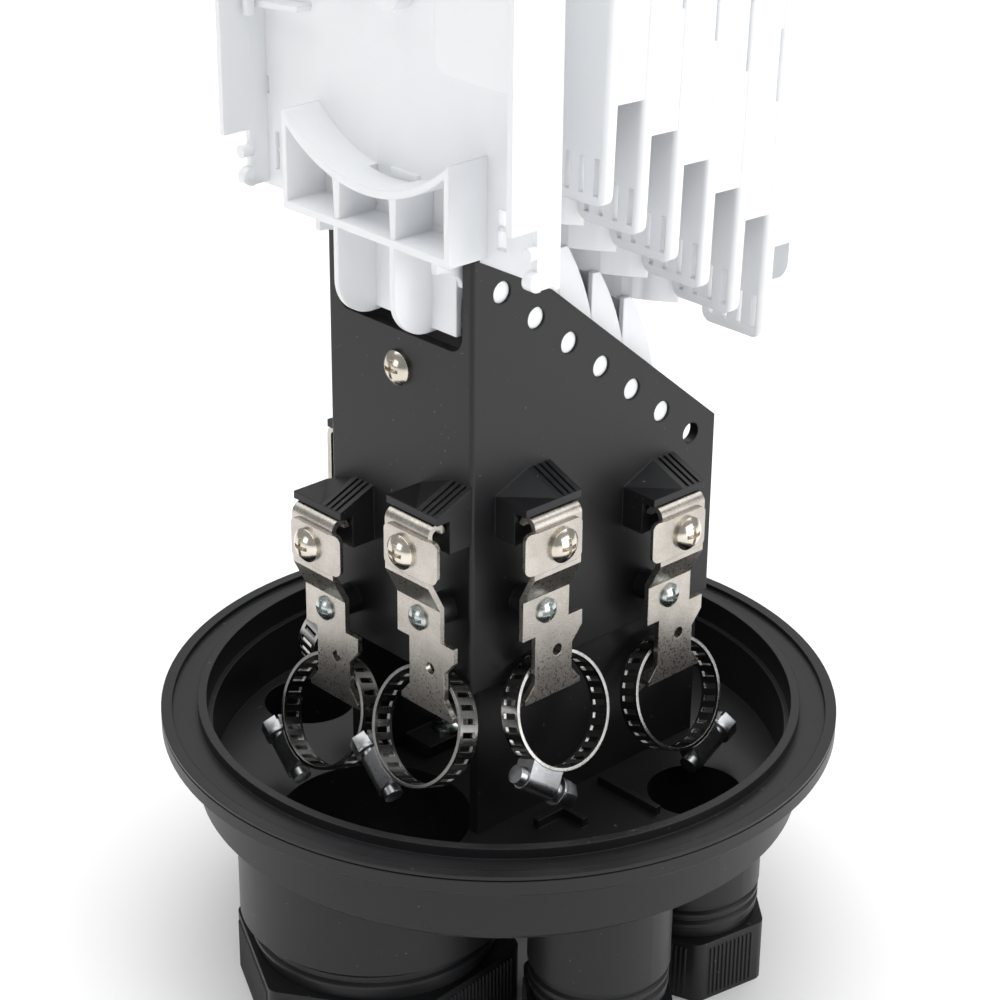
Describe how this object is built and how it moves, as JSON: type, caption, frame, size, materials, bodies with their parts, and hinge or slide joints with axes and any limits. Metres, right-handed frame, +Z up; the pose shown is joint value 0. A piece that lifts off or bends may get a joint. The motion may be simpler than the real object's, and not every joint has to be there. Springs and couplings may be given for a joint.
{
  "type": "fibre splice closure",
  "caption": "Dome splice closure without its dome: round base with cable glands, bracket with cable clamps, and a stack of hinged splice trays.",
  "frame": {"origin": "centre of the rim's circle, on the plane that the gland nuts stand on", "axes": "+Z up, -Y to the front of the bracket, where the storage basket is, +X to its right side"},
  "size_m": [0.16, 0.16, 0.3103],
  "materials": {
    "base": "satin",
    "bracket": "satin",
    "nut": "satin",
    "press_ring": "satin",
    "seal": "matt",
    "strip": "nickel plated",
    "plate": "nickel plated",
    "pan_screw": "nickel plated",
    "zinc_screw": "zinc plated",
    "band": "stainless",
    "worm": "zinc plated",
    "tray": "gloss"
  },
  "bodies": {
    "body": {"base": "base", "tray_bracket": "bracket", "bracket_screws": "zinc_screw", "clamp_screws": "pan_screw", "strip_screws": "zinc_screw", "pressing_ring_1": "press_ring", "gland_seal_1": "seal", "pressing_ring_2": "press_ring", "gland_seal_2": "seal", "pressing_ring_3": "press_ring", "gland_seal_3": "seal", "pressing_ring_4": "press_ring", "gland_seal_4": "seal", "pressing_ring_5": "press_ring", "gland_seal_5": "seal", "clamp_strip_1": "strip", "clamp_plate_1": "plate", "hose_band_1": "band", "worm_housing_1": "band", "clamp_strip_2": "strip", "clamp_plate_2": "plate", "hose_band_2": "band", "worm_housing_2": "band", "clamp_strip_3": "strip", "clamp_plate_3": "plate", "hose_band_3": "band", "worm_housing_3": "band", "clamp_strip_4": "strip", "clamp_plate_4": "plate", "hose_band_4": "band", "worm_housing_4": "band", "clamp_strip_5": "strip", "clamp_plate_5": "plate", "hose_band_5": "band", "worm_housing_5": "band", "clamp_strip_6": "strip", "clamp_plate_6": "plate", "hose_band_6": "band", "worm_housing_6": "band"},
    "nut_1": {"gland_nut_1": "nut"},
    "nut_2": {"gland_nut_2": "nut"},
    "nut_3": {"gland_nut_3": "nut"},
    "nut_4": {"gland_nut_4": "nut"},
    "nut_5": {"gland_nut_5": "nut"},
    "worm_1": {"worm_screw_1": "worm"},
    "worm_2": {"worm_screw_2": "worm"},
    "worm_3": {"worm_screw_3": "worm"},
    "worm_4": {"worm_screw_4": "worm"},
    "worm_5": {"worm_screw_5": "worm"},
    "worm_6": {"worm_screw_6": "worm"},
    "basket": {"storage_basket": "tray"},
    "tray_1": {"splice_tray_1": "tray"},
    "tray_2": {"splice_tray_2": "tray"},
    "tray_3": {"splice_tray_3": "tray"},
    "tray_4": {"splice_tray_4": "tray"},
    "tray_5": {"splice_tray_5": "tray", "rear_cover": "tray"}
  },
  "joints": [
    {"name": "nut_turn_1", "type": "hinge", "parent": "body", "child": "nut_1", "pos_m": [0, -0.039, 0.008], "axis": [0, 0, 1], "continuous": true},
    {"name": "nut_turn_2", "type": "hinge", "parent": "body", "child": "nut_2", "pos_m": [0.05151, -0.01654, 0.008], "axis": [0, 0, 1], "continuous": true},
    {"name": "nut_turn_3", "type": "hinge", "parent": "body", "child": "nut_3", "pos_m": [-0.05151, -0.01654, 0.008], "axis": [0, 0, 1], "continuous": true},
    {"name": "nut_turn_4", "type": "hinge", "parent": "body", "child": "nut_4", "pos_m": [0.04247, 0.02403, 0.008], "axis": [0, 0, 1], "continuous": true},
    {"name": "nut_turn_5", "type": "hinge", "parent": "body", "child": "nut_5", "pos_m": [-0.04247, 0.02403, 0.008], "axis": [0, 0, 1], "continuous": true},
    {"name": "worm_turn_1", "type": "hinge", "parent": "body", "child": "worm_1", "pos_m": [-0.0247, -0.04391, 0.05411], "axis": [-0.866, 0.1792, 0.4668], "continuous": true},
    {"name": "worm_turn_2", "type": "hinge", "parent": "body", "child": "worm_2", "pos_m": [0.0083, -0.04391, 0.06431], "axis": [-0.866, 0.1792, 0.4668], "continuous": true},
    {"name": "worm_turn_3", "type": "hinge", "parent": "body", "child": "worm_3", "pos_m": [0.03623, -0.02239, 0.06556], "axis": [-0.2206, -0.788, 0.5748], "continuous": true},
    {"name": "worm_turn_4", "type": "hinge", "parent": "body", "child": "worm_4", "pos_m": [0.03716, 0.03228, 0.05292], "axis": [0.1226, -0.9397, -0.3193], "continuous": true},
    {"name": "worm_turn_5", "type": "hinge", "parent": "body", "child": "worm_5", "pos_m": [-0.03623, -0.00861, 0.06556], "axis": [0.2206, 0.788, 0.5748], "continuous": true},
    {"name": "worm_turn_6", "type": "hinge", "parent": "body", "child": "worm_6", "pos_m": [-0.03716, 0.01652, 0.05292], "axis": [-0.1226, 0.9397, -0.3193], "continuous": true},
    {"name": "basket_swing", "type": "hinge", "parent": "body", "child": "basket", "pos_m": [0, -0.0222, 0.1785], "axis": [-1, 0, 0], "range_deg": [0, 65]},
    {"name": "tray_1_swing", "type": "hinge", "parent": "body", "child": "tray_1", "pos_m": [0, -0.01213, 0.17023], "axis": [-1, 0, 0], "range_deg": [0, 65]},
    {"name": "tray_2_swing", "type": "hinge", "parent": "body", "child": "tray_2", "pos_m": [0, -0.00206, 0.16196], "axis": [-1, 0, 0], "range_deg": [0, 65]},
    {"name": "tray_3_swing", "type": "hinge", "parent": "body", "child": "tray_3", "pos_m": [0, 0.00801, 0.15369], "axis": [-1, 0, 0], "range_deg": [0, 65]},
    {"name": "tray_4_swing", "type": "hinge", "parent": "body", "child": "tray_4", "pos_m": [0, 0.01808, 0.14542], "axis": [-1, 0, 0], "range_deg": [0, 65]},
    {"name": "tray_5_swing", "type": "hinge", "parent": "body", "child": "tray_5", "pos_m": [0, 0.02814, 0.13715], "axis": [-1, 0, 0], "range_deg": [0, 65]}
  ],
  "couplings": [
    {"joint": "basket_swing", "follows": "tray_5_swing", "ratio": 1},
    {"joint": "tray_1_swing", "follows": "tray_5_swing", "ratio": 1},
    {"joint": "tray_2_swing", "follows": "tray_5_swing", "ratio": 1},
    {"joint": "tray_3_swing", "follows": "tray_5_swing", "ratio": 1},
    {"joint": "tray_4_swing", "follows": "tray_5_swing", "ratio": 1}
  ]
}
